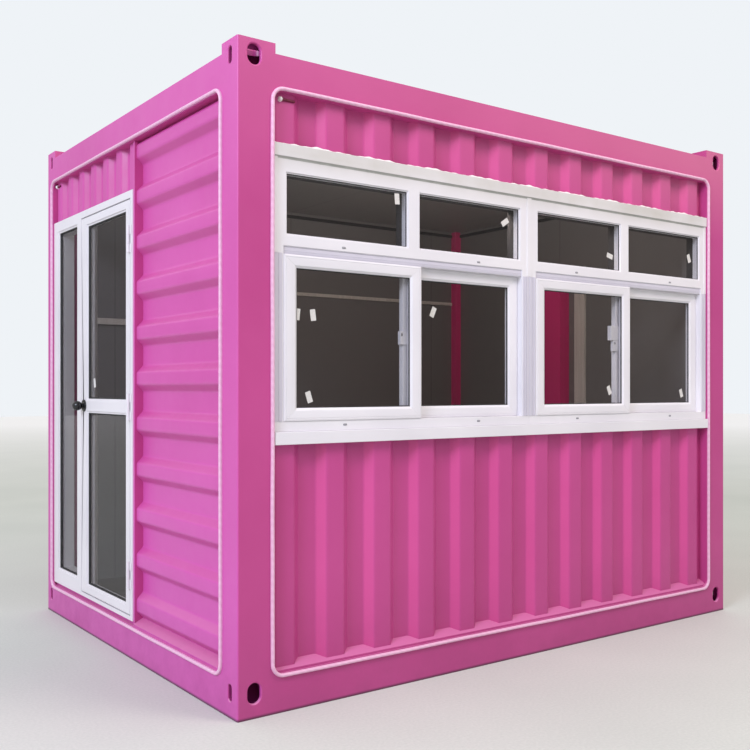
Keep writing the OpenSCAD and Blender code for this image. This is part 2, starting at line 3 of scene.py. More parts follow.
import bpy
import numpy as np
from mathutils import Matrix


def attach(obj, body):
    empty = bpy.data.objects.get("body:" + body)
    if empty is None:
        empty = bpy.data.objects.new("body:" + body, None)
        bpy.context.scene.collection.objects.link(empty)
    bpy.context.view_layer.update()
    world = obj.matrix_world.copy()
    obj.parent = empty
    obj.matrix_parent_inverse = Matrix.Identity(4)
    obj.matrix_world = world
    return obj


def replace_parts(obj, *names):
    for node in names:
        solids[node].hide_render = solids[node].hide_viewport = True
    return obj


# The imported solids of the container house, in metres, with the door and its
# knobs on bodies of their own. Everything below is fitted round them.
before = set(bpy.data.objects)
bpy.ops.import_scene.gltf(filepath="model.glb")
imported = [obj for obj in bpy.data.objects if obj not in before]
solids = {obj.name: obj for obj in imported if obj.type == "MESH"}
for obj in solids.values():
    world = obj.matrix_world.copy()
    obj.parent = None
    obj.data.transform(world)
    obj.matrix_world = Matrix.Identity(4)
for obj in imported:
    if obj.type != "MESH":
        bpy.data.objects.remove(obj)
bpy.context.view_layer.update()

# The studio: a pale honed floor, a plain pale backdrop, a large cool light off the
# door end, a warmer one high over the window front and a small lamp in the room.
# The camera stands at the near corner, level and at eye height, with a normal lens.
lens = bpy.data.cameras.new("studio_camera")
lens.lens = 45.42
lens.sensor_width = 36
lens.shift_y = 0.0184
eye = bpy.data.objects.new("studio_camera", lens)
eye.location = (-3.243, -4.339, 1.261)
eye.rotation_euler = (math.radians(90), 0, math.radians(-36.16))
bpy.context.scene.collection.objects.link(eye)
bpy.context.scene.camera = eye
bpy.context.scene.view_settings.view_transform = "Standard"


def linear(code):
    """An sRGB hex colour as linear red, green, blue and a full alpha."""
    share = np.array([int(code[i:i + 2], 16) for i in (1, 3, 5)]) / 255
    low = share / 12.92
    high = ((share + 0.055) / 1.055) ** 2.4
    return (*np.where(share <= 0.04045, low, high).tolist(), 1.0)


def add(tree, kind, links=None, **settings):
    """Adds one shader node, sets its own settings, and sets or links its inputs."""
    made = tree.nodes.new("ShaderNode" + kind)
    for key, value in settings.items():
        setattr(made, key, value)
    for key, value in (links or {}).items():
        if isinstance(value, bpy.types.NodeSocket):
            tree.links.new(value, made.inputs[key])
        else:
            made.inputs[key].default_value = value
    return made


def new_finish(name):
    """A fresh material with its node tree and its shader."""
    made = bpy.data.materials.new(name)
    made.use_nodes = True
    return made, made.node_tree, made.node_tree.nodes["Principled BSDF"]


def two_tones(ramp, low, dark, high, light):
    """Sets a colour ramp's two stops and hands back its colour."""
    ramp.color_ramp.elements[0].position = low
    ramp.color_ramp.elements[0].color = linear(dark)
    ramp.color_ramp.elements[1].position = high
    ramp.color_ramp.elements[1].color = linear(light)
    return ramp.outputs["Color"]


# Honed concrete: a fine pale speckle with slow cloudy changes, nearly matt, and
# painted paler towards the far edge of the sweep as painted light, making up for
# the light that falls off there.
honed_concrete, tree, shader = new_finish("honed_concrete")
place = add(tree, "TexCoord").outputs["Object"]
cloud = add(tree, "TexNoise", {"Vector": place, "Scale": 1 / 1.4, "Detail": 4.0})
speck = add(tree, "TexNoise", {"Vector": place, "Scale": 1 / 0.012, "Detail": 2.0})
both = add(tree, "Mix", {"Factor": 0.5, "A": cloud.outputs["Fac"], "B": speck.outputs["Fac"]})
tone = two_tones(add(tree, "ValToRGB", {"Fac": both.outputs["Result"]}), 0.36, "#C2C7C0", 0.64, "#CDD1CA")
reach = add(tree, "VectorMath", {0: place}, operation="LENGTH")
far_light_share = add(tree, "MapRange", {"Value": reach.outputs["Value"], "From Min": 7.0, "From Max": 30.0})
far_lit = add(tree, "Mix", {"Factor": far_light_share.outputs[0], "A": tone, "B": linear("#FAFBFC")}, data_type="RGBA")
tree.links.new(far_lit.outputs["Result"], shader.inputs["Base Color"])
shader.inputs["Roughness"].default_value = 0.72

half = 40.0
ground = bpy.data.meshes.new("studio_floor")
corners = [(-half, -half, 0), (half, -half, 0), (half, half, 0), (-half, half, 0)]
ground.from_pydata(corners, [], [(0, 1, 2, 3)])
ground.materials.append(honed_concrete)
floor = bpy.data.objects.new("studio_floor", ground)
bpy.context.scene.collection.objects.link(floor)

# The backdrop is one pale tone. The room that the object sees is pale overhead,
# and its walls are cool and bright on the door end's side and dim and warm elsewhere.
room = bpy.data.worlds.new("studio_room")
room.use_nodes = True
tree = room.node_tree
way = add(tree, "SeparateXYZ", {"Vector": add(tree, "TexCoord").outputs["Generated"]})
door_side = add(tree, "MapRange", {
    "Value": way.outputs["X"], "From Min": -0.35, "From Max": -0.95}, interpolation_type="SMOOTHSTEP")
walls = add(tree, "Mix", {
    "Factor": door_side.outputs[0], "A": linear("#6E6764"), "B": linear("#CDD2DE")}, data_type="RGBA")
overhead = add(tree, "MapRange", {
    "Value": way.outputs["Z"], "From Min": 0.08, "From Max": 0.34}, interpolation_type="SMOOTHSTEP")
shell = add(tree, "Mix", {
    "Factor": overhead.outputs[0], "A": walls.outputs["Result"], "B": linear("#FBF9F8")}, data_type="RGBA")
tree.links.new(shell.outputs["Result"], tree.nodes["Background"].inputs["Color"])
paper = add(tree, "Background", {"Color": linear("#EFF3F7")})
either = add(tree, "MixShader", {
    0: add(tree, "LightPath").outputs["Is Camera Ray"],
    1: tree.nodes["Background"].outputs["Background"], 2: paper.outputs["Background"]})
tree.links.new(either.outputs["Shader"], tree.nodes["World Output"].inputs["Surface"])
bpy.context.scene.world = room

for name, spot, aim, wide, watts, tint in (
    ("soft_light_door_end", (-8.5, -4.0, 5.5), (-1.4, -0.8, 1.2), 3.0, 525, "#DEE6FF"),
    ("soft_light_window_front", (0.4, -3.7, 5.3), (0.3, -1.1, 1.9), 1.8, 92, "#FFEEE6"),
    ("soft_light_in_the_room", (-0.2, -0.98, 2.28), (1.3, 0.9, 1.5), 0.3, 10.7, "#FFF3EE"),
):
    lamp = bpy.data.lights.new(name, "AREA")
    lamp.shape = "DISK"
    lamp.size = wide
    lamp.energy = watts
    lamp.color = linear(tint)[:3]
    stand = bpy.data.objects.new(name, lamp)
    stand.location = spot
    reach = np.array(aim) - np.array(spot)
    tilt = math.atan2(math.hypot(reach[0], reach[1]), -reach[2])
    stand.rotation_euler = (tilt, 0, math.atan2(reach[1], reach[0]) - math.pi / 2)
    bpy.context.scene.collection.objects.link(stand)

# The steel frame: four folded posts, cast corner blocks and box rails, welded,
# ground flush and sprayed pink. Its solids keep their shape and take the paint,
# and rounded lips of the castings' oval holes are added.
# Sizes on a wall are in millimetres: along it, inward from the frame's face, and up.
length, depth, height = 3110.0, 2300.0, 2600.0
post_wide, rail_top, head_rail = 160.0, 155.0, 2420.0


def sprayed(name, inside=False):
    """Satin alkyd enamel over steel: even pink with slow shifts of tone, the fine dimples of a spray gun and
    faint waves in the plate under it, darker in blotches towards the bottom, painted light on the ledges
    low down and a painted contact shadow at the ground. As painted light, the slopes of the window front
    that face the door end and that end itself are painted brighter and more violet for the cool light
    from there, the end bluer near its foot, and the top of the window front is painted paler away from
    that end. What faces the room is painted a brighter raspberry as painted light, and a casting's
    hollow is painted darker as painted shade."""
    made, tree, shader = new_finish(name)
    place = add(tree, "TexCoord").outputs["Object"]
    drift = add(tree, "TexNoise", {"Vector": place, "Scale": 1 / 0.7, "Detail": 3.0, "Roughness": 0.55})
    # Painted light: the window front's slopes that face the door end get a brighter pink, and that end's own
    # faces a brighter violet, bluer near the foot, standing in for the cool light from there.
    front, full, end_high, end_low = (
        two_tones(add(tree, "ValToRGB", {"Fac": drift.outputs["Fac"]}), 0.3, dark, 0.72, light)
        for dark, light in (
            ("#B63E81", "#C0478B"), ("#D2478C", "#DA5096"), ("#C54F9C", "#CE59A7"), ("#C850A5", "#D15AB0")))
    apart = add(tree, "SeparateXYZ", {"Vector": place})
    near_foot = add(tree, "MapRange", {"Value": apart.outputs["Z"], "From Min": 1.2, "From Max": 0.3})
    end = add(tree, "Mix", {"Factor": near_foot.outputs[0], "A": end_high, "B": end_low}, data_type="RGBA")
    facing = add(tree, "SeparateXYZ", {"Vector": add(tree, "NewGeometry").outputs["Normal"]})
    turned_there = add(tree, "MapRange", {"Value": facing.outputs["X"], "From Min": -0.3, "From Max": -0.95})
    lies_there = add(tree, "MapRange", {"Value": apart.outputs["X"], "From Min": -1.40, "From Max": -1.46})
    slanting = add(tree, "MapRange", {"Value": facing.outputs["Y"], "From Min": -0.2, "From Max": -0.6})
    slope = add(tree, "Mix", {"Factor": slanting.outputs[0], "A": front, "B": full}, data_type="RGBA")
    there = add(tree, "Mix", {
        "Factor": lies_there.outputs[0], "A": slope.outputs["Result"], "B": end.outputs["Result"]},
        data_type="RGBA")
    door_end_lit = add(tree, "Mix", {
        "Factor": turned_there.outputs[0], "A": front, "B": there.outputs["Result"]}, data_type="RGBA")
    # Painted light: the window front is painted paler at its top, more so away from the door end.
    top_light_share = 1.0
    for value, low, high in (
        (apart.outputs["X"], -1.7, 1.3), (apart.outputs["Z"], 2.1, 2.5), (facing.outputs["Y"], -0.3, -0.9),
    ):
        share = add(tree, "MapRange", {"Value": value, "From Min": low, "From Max": high})
        top_light_share = add(tree, "Math", {0: top_light_share, 1: share.outputs[0]}, operation="MULTIPLY").outputs[0]
    top_light = add(tree, "Math", {0: top_light_share, 1: 0.34}, operation="MULTIPLY")
    top_lit = add(tree, "Mix", {
        "Factor": top_light.outputs[0], "A": door_end_lit.outputs["Result"], "B": linear("#DB8AA0")}, data_type="RGBA")
    # Darker in blotches towards the bottom.
    low_down = add(tree, "MapRange", {
        "Value": apart.outputs["Z"], "From Min": 0.02, "From Max": 0.42, "To Min": 0.5, "To Max": 0.0})
    smear = add(tree, "TexNoise", {"Vector": place, "Scale": 1 / 0.09, "Detail": 5.0, "Roughness": 0.65})
    low_blotch = add(tree, "Math", {0: low_down.outputs[0], 1: smear.outputs["Fac"]}, operation="MULTIPLY")
    blotched = add(tree, "Mix", {
        "Factor": low_blotch.outputs[0], "A": top_lit.outputs["Result"], "B": linear("#8A3A68")}, data_type="RGBA")
    # Painted light: upward-facing ledges low down are painted paler, for the sky light they catch.
    ledge = add(tree, "MapRange", {"Value": facing.outputs["Z"], "From Min": 0.3, "From Max": 0.8})
    sky_lit_ledge = add(tree, "Math", {0: low_down.outputs[0], 1: ledge.outputs[0]}, operation="MULTIPLY")
    ledge_lit = add(tree, "Mix", {
        "Factor": sky_lit_ledge.outputs[0], "A": blotched.outputs["Result"], "B": linear("#F0A6D2")}, data_type="RGBA")
    # Painted shadow: the bottom 13 mm are painted near black, a contact shadow at the ground.
    at_ground = add(tree, "MapRange", {
        "Value": apart.outputs["Z"], "From Min": 0.004, "From Max": 0.013, "To Min": 0.8, "To Max": 0.0})
    ground_shadowed = add(tree, "Mix", {
        "Factor": at_ground.outputs[0], "A": ledge_lit.outputs["Result"], "B": linear("#31182A")},
        data_type="RGBA")
    # A span is an axis, how far the space's middle lies from the house's own, and half the space's size.
    if inside:
        # Painted shade: a casting's hollow and the walls of its holes are painted a darker pink.
        mid_up, inside_tone = 1.3, "#9A2A72"
        spans = ("X", 1.4745, 0.0745), ("Y", 1.0833, 0.0533), ("Z", 1.2208, 0.0658)
    else:
        # Painted light: what faces the room is painted a brighter raspberry, for light the room lacks.
        mid_up, inside_tone = 1.29, "#EC2F7E"
        spans = ("X", 0.0, 1.45), ("Y", 0.0, 1.055), ("Z", 0.0, 1.135)
    within = 1.0
    for axis, middle, reach in spans:
        centre = mid_up if axis == "Z" else 0.0
        off = add(tree, "Math", {0: apart.outputs[axis], 1: centre}, operation="SUBTRACT")
        size = add(tree, "Math", {0: off.outputs[0]}, operation="ABSOLUTE")
        here = add(tree, "Math", {0: size.outputs[0], 1: middle, 2: reach}, operation="COMPARE")
        within = add(tree, "Math", {0: within, 1: here.outputs[0]}, operation="MULTIPLY").outputs[0]
    coat = add(tree, "Mix", {
        "Factor": within, "A": ground_shadowed.outputs["Result"], "B": linear(inside_tone)}, data_type="RGBA")
    tree.links.new(coat.outputs["Result"], shader.inputs["Base Color"])
    rough = add(tree, "MapRange", {
        "Value": smear.outputs["Fac"], "From Min": 0.3, "From Max": 0.7, "To Min": 0.36, "To Max": 0.47})
    tree.links.new(rough.outputs[0], shader.inputs["Roughness"])
    peel = add(tree, "TexNoise", {"Vector": place, "Scale": 1 / 0.006, "Detail": 1.0})
    wave = add(tree, "TexNoise", {"Vector": place, "Scale": 1 / 0.35, "Detail": 1.0})
    dimple = add(tree, "Bump", {"Height": peel.outputs["Fac"], "Strength": 0.10, "Distance": 0.0006})
    plate = add(tree, "Bump", {
        "Height": wave.outputs["Fac"], "Strength": 0.35, "Distance": 0.010,
        "Normal": dimple.outputs["Normal"]})
    tree.links.new(plate.outputs["Normal"], shader.inputs["Normal"])
    shader.inputs["IOR"].default_value = 1.48
    return made


def dress(finish, *names):
    """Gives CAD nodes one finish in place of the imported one."""
    for name in names:
        solids[name].data.materials.clear()
        solids[name].data.materials.append(finish)


def on_wall(side, points):
    """Wall millimetres (along, inward, up) on one of the four walls as metres in the shared frame."""
    u, r, z = np.moveaxis(np.asarray(points, float), -1, 0)
    x, y = {
        "front": (u - length / 2, r - depth / 2),
        "left": (r - length / 2, depth / 2 - u),
        "back": (length / 2 - u, depth / 2 - r),
        "right": (length / 2 - r, u - depth / 2),
    }[side]
    return np.stack([x, y, z], -1) / 1000


def skin(name, stacks, body, finish, loop=False, ribbon=False, crease=35):
    """Closed surfaces through stacks of like outlines: stack[i, j] is point j of outline i. Quads join
    neighbouring outlines. The end ones are capped, as a ribbon of quads where the outline is a thin strip,
    and left open where another stack goes on. The signed volume, summed over triangles from the middle,
    tells which way round the faces point outwards."""
    points, outlines, ends, start = [], [], [], 0
    for stack in stacks:
        many, around = stack.shape[:2]
        i = np.arange(many if loop else many - 1)[:, None]
        j = np.arange(around)[None, :]
        ahead, beside = (i + 1) % many, (j + 1) % around
        corner = (i * around + j, i * around + beside, ahead * around + beside, ahead * around + j)
        quads = np.stack(np.broadcast_arrays(*corner), -1).reshape(-1, 4)
        flat = stack.reshape(-1, 3)
        a, b, c, d = np.moveaxis(flat[quads] - flat.mean(0), 1, 0)
        volume = np.sum(a * np.cross(b, c)) + np.sum(a * np.cross(c, d))
        turn = -1 if volume < 0 else 1
        outlines += (start + quads[:, ::turn]).tolist()
        if not loop and ribbon:
            k = np.arange(around // 2 - 1)
            strip = np.stack([k, around - 1 - k, around - 2 - k, k + 1], -1)
            ends.append(start + np.concatenate([strip, strip[:, ::-1] + (many - 1) * around])[:, ::turn])
        elif not loop:
            end = start + np.arange(around)
            outlines += [end[::-turn].tolist(), (end[::turn] + (many - 1) * around).tolist()]
        points.append(flat)
        start += len(flat)
    if ends:
        ends = np.concatenate(ends)
        middles = np.round(np.concatenate(points)[ends].mean(1), 7)
        _, which, times = np.unique(middles, axis=0, return_inverse=True, return_counts=True)
        outlines += ends[times[which.ravel()] == 1].tolist()
    mesh = bpy.data.meshes.new(name)
    mesh.from_pydata(np.concatenate(points).tolist(), [], outlines)
    mesh.shade_smooth()
    mesh.set_sharp_from_angle(angle=math.radians(crease))
    mesh.materials.append(finish)
    piece = bpy.data.objects.new(name, mesh)
    bpy.context.scene.collection.objects.link(piece)
    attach(piece, body)
    return piece


def oval(wide, tall, count=20):
    """A slot outline as places and outward directions: two half circles joined by straight sides."""
    turn = np.linspace(0, math.pi, count)
    out = np.concatenate([
        np.stack([np.cos(turn), np.sin(turn)], -1), np.stack([-np.cos(turn), -np.sin(turn)], -1)])
    lift = np.repeat([[0, (tall - wide) / 2], [0, (wide - tall) / 2]], count, axis=0)
    return out * wide / 2 + lift, out


pink_enamel = sprayed("satin_pink_enamel")
cast_enamel = sprayed("satin_pink_enamel_on_castings", inside=True)
dress(
    pink_enamel, "post_front_left", "post_front_right", "post_back_left", "post_back_right",
    "bottom_rail_front", "bottom_rail_back", "bottom_rail_left", "bottom_rail_right",
    "top_rail_front", "top_rail_back", "top_rail_left", "top_rail_right",
    "floor_joists", "window_beams", "door_studs", "foot_strips", "door_threshold", "inside_post",
)
dress(cast_enamel, "bottom_castings", "top_castings")

# Each lip is a quarter round carried round the oval, from flush with the face
# to the wall of the hole, and it fills the step that the solid leaves for it.
side_hole, side_hole_along = (58, 80), 73
end_hole, end_hole_along = (30, 66), 65
hole_heights = (96, 2541)
lip_width = 6.0
arc = np.linspace(0, math.pi / 2, 7)
lip_out = np.concatenate([lip_width * (1 - np.sin(arc)), [lip_width]])
lip_in = np.concatenate([lip_width * (1 - np.cos(arc)), [lip_width]])


def round_hole(side, hole, middle, up, out_by, in_by):
    """A section of (outward, inward) points carried round an oval hole in a wall."""
    edge, out = oval(*hole)
    ring = edge[:, None, :] + out[:, None, :] * out_by[None, :, None]
    rows = [middle + ring[..., 0], np.broadcast_to(in_by, ring.shape[:2]), up + ring[..., 1]]
    return on_wall(side, np.stack(rows, -1))


lips = [
    round_hole(side, hole, middle, up, lip_out, lip_in)
    for side, run, hole, along in (
        ("front", length, side_hole, side_hole_along), ("back", length, side_hole, side_hole_along),
        ("left", depth, end_hole, end_hole_along), ("right", depth, end_hole, end_hole_along))
    for middle in (along, run - along) for up in hole_heights]
skin("casting_hole_lips", lips, "house", pink_enamel, loop=True)

# Inside the hollows a cast collar stands round each end hole and each lock slot.
lock_slot, slot_x, slot_y = (60, 116), 1472.5, 1085
collar_out = np.array([0.4, 4.0, 4.0, 0.4])
collar_in = np.array([13.0, 13.0, 32.0, 32.0])
collars = [
    round_hole(side, end_hole, middle, up, collar_out, collar_in)
    for side in ("left", "right") for middle in (end_hole_along, depth - end_hole_along)
    for up in hole_heights]
edge, out = oval(*lock_slot)
ring = edge[:, None, :] + out[:, None, :] * collar_out[None, :, None]
for x in (-slot_x, slot_x):
    for y in (-slot_y, slot_y):
        for up in (collar_in, height - collar_in):
            rows = [x + ring[..., 1], y + ring[..., 0], np.broadcast_to(up, ring.shape[:2])]
            collars.append(np.stack(rows, -1) / 1000)
skin("casting_hole_collars", collars, "house", cast_enamel, loop=True)

# The floor deck, lining boards and ceiling: birch plywood underfoot, and grey
# laminated boards nailed inside the frame on the walls and overhead, the ceiling's
# painted paler as painted light.
# Rotary-cut plywood: long flame grain along the room under a thin clear seal.
sealed_plywood, tree, shader = new_finish("sealed_birch_plywood")
place = add(tree, "TexCoord").outputs["Object"]
stretch = add(tree, "Mapping", {"Vector": place, "Scale": (1 / 1.1, 1 / 0.035, 1 / 0.035)})
grain = add(tree, "TexNoise", {
    "Vector": stretch.outputs["Vector"], "Scale": 1.0, "Detail": 6.0, "Distortion": 0.6})
tone = two_tones(add(tree, "ValToRGB", {"Fac": grain.outputs["Fac"]}), 0.32, "#50473F", 0.68, "#685D53")
tree.links.new(tone, shader.inputs["Base Color"])
shader.inputs["Roughness"].default_value = 0.42
rise = add(tree, "Bump", {"Height": grain.outputs["Fac"], "Strength": 0.2, "Distance": 0.0008})
tree.links.new(rise.outputs["Normal"], shader.inputs["Normal"])
dress(sealed_plywood, "floor_deck")


def laminated(name, dark, light):
    """Laminated board: matt grey with the faint pebble of the press plate, in panels 1.2 m wide with a thin
    dark joint between them. A to and fro count over half a panel is nought at each joint."""
    made, tree, shader = new_finish(name)
    place = add(tree, "TexCoord").outputs["Object"]
    pebble = add(tree, "TexNoise", {"Vector": place, "Scale": 1 / 0.004, "Detail": 2.0})
    tone = two_tones(add(tree, "ValToRGB", {"Fac": pebble.outputs["Fac"]}), 0.3, dark, 0.7, light)
    apart = add(tree, "SeparateXYZ", {"Vector": place})
    joint_x = add(tree, "Math", {0: apart.outputs["X"], 1: 0.6}, operation="PINGPONG")
    joint_y = add(tree, "Math", {0: apart.outputs["Y"], 1: 0.6}, operation="PINGPONG")
    nearest = add(tree, "Math", {0: joint_x.outputs[0], 1: joint_y.outputs[0]}, operation="MINIMUM")
    line = add(tree, "MapRange", {
        "Value": nearest.outputs[0], "From Min": 0.0012, "From Max": 0.0028, "To Min": 0.5, "To Max": 1.0})
    shade = add(tree, "Mix", {
        "Factor": 1.0, "A": tone, "B": line.outputs[0]}, data_type="RGBA", blend_type="MULTIPLY")
    tree.links.new(shade.outputs["Result"], shader.inputs["Base Color"])
    shader.inputs["Roughness"].default_value = 0.55
    press = add(tree, "Bump", {"Height": pebble.outputs["Fac"], "Strength": 0.15, "Distance": 0.0004})
    tree.links.new(press.outputs["Normal"], shader.inputs["Normal"])
    return made


wall_board = laminated("grey_laminated_board", "#777270", "#827D7A")
dress(wall_board, "wall_linings")
# Painted light: the ceiling's board is a paler copy of the wall board, for the little light it gets.
dress(laminated("pale_laminated_board", "#A79F9A", "#B2ABA5"), "ceiling_panel")

# The inside trim: a foam strip in the angle of walls and ceiling, near black as
# painted shade, a planed batten on the right wall and two flat wooden rails on the
# back wall, pale as painted light, and strips of board over the foam and on the
# room side of each front post.


def mottled(name, grain, detail, dark, light, rough, stops=(0.3, 0.7), bump=None):
    """A foamed, moulded, cured or fibrous finish: a noise with grains of one size, in metres, shifts its tone
    between two colours and, where a bump is given as a strength and a height, raises its surface."""
    made, tree, shader = new_finish(name)
    place = add(tree, "TexCoord").outputs["Object"]
    mottle = add(tree, "TexNoise", {"Vector": place, "Scale": 1 / grain, "Detail": detail})
    ramp = add(tree, "ValToRGB", {"Fac": mottle.outputs["Fac"]})
    tree.links.new(two_tones(ramp, stops[0], dark, stops[1], light), shader.inputs["Base Color"])
    shader.inputs["Roughness"].default_value = rough
    if bump:
        strength, tall = bump
        rise = add(tree, "Bump", {"Height": mottle.outputs["Fac"], "Strength": strength, "Distance": tall})
        tree.links.new(rise.outputs["Normal"], shader.inputs["Normal"])
    return made


# Closed-cell foam: soft and dull, with a fine speckle of cells, near black as painted shade in the corner.
corner_shade_foam = mottled("corner_shade_foam_strip", 0.006, 2.0, "#15100F", "#221A18", 0.8)

# Planed pine with fine long grain, painted paler than pine as painted light, for light the room lacks.
pale_lit_pine, tree, shader = new_finish("pale_lit_pine")
place = add(tree, "TexCoord").outputs["Object"]
stretch = add(tree, "Mapping", {"Vector": place, "Scale": (1 / 0.012, 1 / 0.012, 1 / 0.5)})
grain = add(tree, "TexNoise", {
    "Vector": stretch.outputs["Vector"], "Scale": 1.0, "Detail": 5.0, "Distortion": 0.4})
tone = two_tones(add(tree, "ValToRGB", {"Fac": grain.outputs["Fac"]}), 0.3, "#CBC1B7", 0.7, "#E0D7CD")
tree.links.new(tone, shader.inputs["Base Color"])
shader.inputs["Roughness"].default_value = 0.62


def board_on(side, u0, u1, r0, r1, z0, z1, ease=2.0):
    """A straight board with eased front edges: its section across and inward, carried from foot to top."""
    section = np.array([
        (u0, r0), (u0, r1 - ease), (u0 + ease, r1), (u1 - ease, r1), (u1, r1 - ease), (u1, r0)])
    rows = [np.stack([section[:, 0], section[:, 1], np.full(len(section), z)], -1) for z in (z0, z1)]
    return on_wall(side, np.stack(rows))


lining, corner, deck_top = 110, 161, 156
foam_low, foam_high = 2388, 2407
foam = [
    board_on(side, start, stop, lining, lining + 14, foam_low, foam_high) for side, start, stop in (
        ("back", corner, length - corner), ("right", corner, depth - corner),
        ("left", 1263, depth - 143), ("front", corner, length - corner))]
skin("ceiling_foam_strip", foam, "house", corner_shade_foam)
battens = [
    board_on(side, start, stop, lining, lining + thick, low, high)
    for side, start, stop, thick, low, high in (
        ("right", 925, 1010, 18, deck_top, 2050), ("back", corner, 1700, 12, 1880, 1902),
        ("back", 2300, length - corner, 14, 1636, 1672))]
skin("inside_battens", battens, "house", pale_lit_pine)
near, far = 160.2, 164
covers = [
    board_on("front", start, stop, 89, 164, 160, foam_low - 1) for start, stop in (
        (near, far), (length - far, length - near))]
covers += [
    board_on(side, corner, run - corner, lining, lining + 8, foam_high + 0.2, 2427) for side, run in (
        ("back", length), ("right", depth))]
skin("board_strips", covers, "house", wall_board)

# The corrugated walls and roof: steel sheet folded in a press into flat crests
# and troughs with soft bends, seam welded into the frame and sprayed with it.
sheet_gauge, sheet_in, rib_deep, fold_radius = 2.0, 22.0, 32.0, 22.0
slope_share, upright_crest_share, level_crest_share = 0.15, 0.355, 0.27
wall_pitch, head_pitch, level_pitch, level_start = 239, 178, 212, 50


def folded_line(run, pitch, start, crest, deep):
    """A rib line as (along, inward) points. Each pitch has a slope out, a crest, a slope in and a trough, and
    every corner becomes a quadratic curve between the two points where the fold's radius meets the flats."""
    folds = slope_share * np.array([-0.5, 0.5, 0.5, 1.5]) + crest * np.array([0, 0, 1, 1])
    turns = start + pitch * np.arange(-1, int(run / pitch) + 2)[:, None] + pitch * folds
    turns = np.stack([turns, np.broadcast_to([deep, 0, 0, deep], turns.shape)], -1).reshape(-1, 2)
    step = np.diff(turns, axis=0)
    step /= np.linalg.norm(step, axis=1, keepdims=True)
    here, back, on = turns[1:-1], -step[:-1], step[1:]
    half_turn = np.arccos(np.clip(np.sum(-back * on, 1), -1, 1)) / 2
    reach = (fold_radius * np.tan(half_turn))[:, None, None]
    t = np.linspace(0, 1, 7)[None, :, None]
    bend = here[:, None] + (1 - t) ** 2 * reach * back[:, None] + t ** 2 * reach * on[:, None]
    bend = bend.reshape(-1, 2)
    ends = np.interp([0, run], bend[:, 0], bend[:, 1])
    within = bend[(bend[:, 0] > 1) & (bend[:, 0] < run - 1)]
    return np.concatenate([[[0, ends[0]]], within, [[run, ends[1]]]])


def folded_sheet(name, side, u0, u1, z0, z1, pitch, level=False):
    """A folded sheet between two places along a wall and two heights: its rib line with the gauge added
    behind it, carried up the wall for upright ribs or along it for level ones, in twelve stretches."""
    run, start = (z1 - z0, level_start) if level else (u1 - u0, 0)
    crest = level_crest_share if level else upright_crest_share
    line = folded_line(run, pitch, start, crest, rib_deep)
    loop = np.concatenate([line, line[::-1] + [0, sheet_gauge]])
    carry = np.linspace(u0, u1, 13) if level else np.linspace(z0, z1, 13)
    across, inward = loop[:, 0] + (z0 if level else u0), loop[:, 1] + sheet_in
    one = np.ones((len(carry), 1))
    rows = [one * across, one * inward, carry[:, None] * np.ones(len(loop))]
    if level:
        rows = rows[::-1]
    piece = skin(name, [on_wall(side, np.stack(rows, -1))], "house", pink_enamel, ribbon=True)
    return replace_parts(piece, name)


bay_end, right_end, sill_foot, fascia_foot = length - post_wide, depth - post_wide, 1092, 2170
back_post, door_post, stud, end_post = 94, 1246, 1262, 2158
folded_sheet("front_sheet_lower", "front", post_wide, bay_end, rail_top, sill_foot, wall_pitch)
folded_sheet("front_sheet_upper", "front", post_wide, bay_end, fascia_foot, head_rail, wall_pitch)
folded_sheet("back_sheet", "back", post_wide, bay_end, rail_top, head_rail, wall_pitch)
folded_sheet("door_head_sheet", "left", back_post, door_post, 2195, head_rail, head_pitch)
folded_sheet("left_sheet", "left", stud, end_post, rail_top, head_rail, level_pitch, level=True)
folded_sheet("right_sheet", "right", post_wide, right_end, rail_top, head_rail, level_pitch, level=True)

# The roof's ribs run from front to back and end between the castings: a wide
# stretch and two narrower ends, joined to one sheet.
roof_run, roof_pitch, roof_deep, roof_top = 2890, 209, 22.0, 2552
clear_of_castings, between_rails = 1020, 1040
weld_within = 0.02 / 1000
notch = np.array([55.0, roof_run - 55.0])
ridge = folded_line(roof_run, roof_pitch, 0, upright_crest_share, roof_deep)
ridge = np.concatenate([ridge, np.stack([notch, np.interp(notch, ridge[:, 0], ridge[:, 1])], -1)])
ridge = ridge[np.argsort(ridge[:, 0])]
roof = []
for low, high, y0, y1 in (
    (0, roof_run, -clear_of_castings, clear_of_castings), (*notch, clear_of_castings, between_rails),
    (*notch, -between_rails, -clear_of_castings),
):
    part = ridge[(ridge[:, 0] >= low) & (ridge[:, 0] <= high)]
    loop = np.concatenate([part, part[::-1] + [0, sheet_gauge]])
    station = np.linspace(y0, y1, 9)[:, None] * np.ones(len(loop))
    rows = [loop[:, 0] - roof_run / 2 + 0 * station, station, roof_top - loop[:, 1] + 0 * station]
    roof.append(np.stack(rows, -1) / 1000)
piece = skin("roof_sheet", roof, "house", pink_enamel, ribbon=True)
piece.modifiers.new("join", "WELD").merge_threshold = weld_within
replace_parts(piece, "roof_sheet")

# The window front: extruded aluminium frames and trims, screwed together at the
# corners, powder coated white and bedded against the steel.


